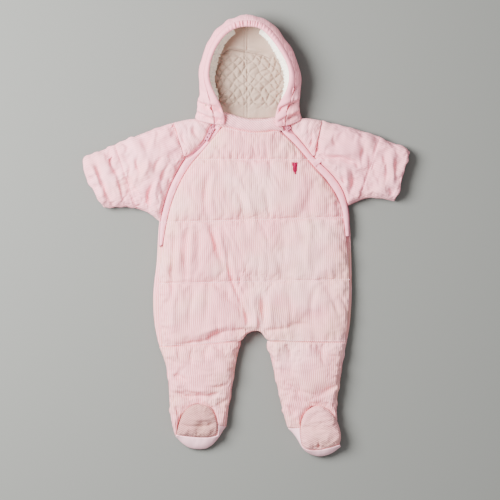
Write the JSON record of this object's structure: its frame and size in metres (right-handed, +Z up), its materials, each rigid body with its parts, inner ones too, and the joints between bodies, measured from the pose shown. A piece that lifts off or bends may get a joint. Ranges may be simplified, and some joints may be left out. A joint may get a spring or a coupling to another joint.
{
  "type": "baby snowsuit",
  "caption": "Padded corduroy baby suit with feet, laid flat on its back: quilted bib front between curved zips, short wide sleeves and an open hood with quilted lining.",
  "frame": {"origin": "on the surface it lies on, at the middle of the suit's outline seen from above", "axes": "+Y from the feet to the top of the hood, +Z up out of the front of the suit, +X to the right of someone who looks at the front"},
  "size_m": [0.5219, 0.7069, 0.0545],
  "materials": {
    "corduroy": "fine-ribbed cotton corduroy over padding, pale pink",
    "welt": "smooth cotton sateen binding, pink",
    "lining": "quilted cotton lining, pale pinkish grey",
    "fleece": "soft cream pile fleece",
    "tape": "woven zip tape with coil teeth, pink",
    "hardware": "enamelled zip slider and tab, pink"
  },
  "bodies": {
    "suit": {"front_body": "corduroy", "back_body": "corduroy", "collar": "corduroy", "hood_rim": "welt", "shoulder_left": "corduroy", "sleeve_front_left": "corduroy", "sleeve_back_left": "corduroy", "front_leg_left": "corduroy", "back_leg_left": "corduroy", "vamp_left": "corduroy", "sole_left": "corduroy", "hood_left": "corduroy", "zip_left": "tape", "zip_flap_left": "welt", "slider_left": "hardware", "hood_lining_left": "lining", "fleece_left": "fleece", "shoulder_right": "corduroy", "sleeve_front_right": "corduroy", "sleeve_back_right": "corduroy", "front_leg_right": "corduroy", "back_leg_right": "corduroy", "vamp_right": "corduroy", "sole_right": "corduroy", "hood_right": "corduroy", "zip_right": "tape", "zip_flap_right": "welt", "slider_right": "hardware", "pull_tab_right": "hardware", "hood_lining_right": "lining", "fleece_right": "fleece"},
    "pull_left": {"pull_tab_left": "hardware"}
  },
  "joints": [
    {"name": "pull_left_hinge", "type": "hinge", "parent": "suit", "child": "pull_left", "pos_m": [-0.05643, 0.17038, 0.02115], "axis": [-0.8867, 0.4623, 0], "range_deg": [0, 110]}
  ]
}
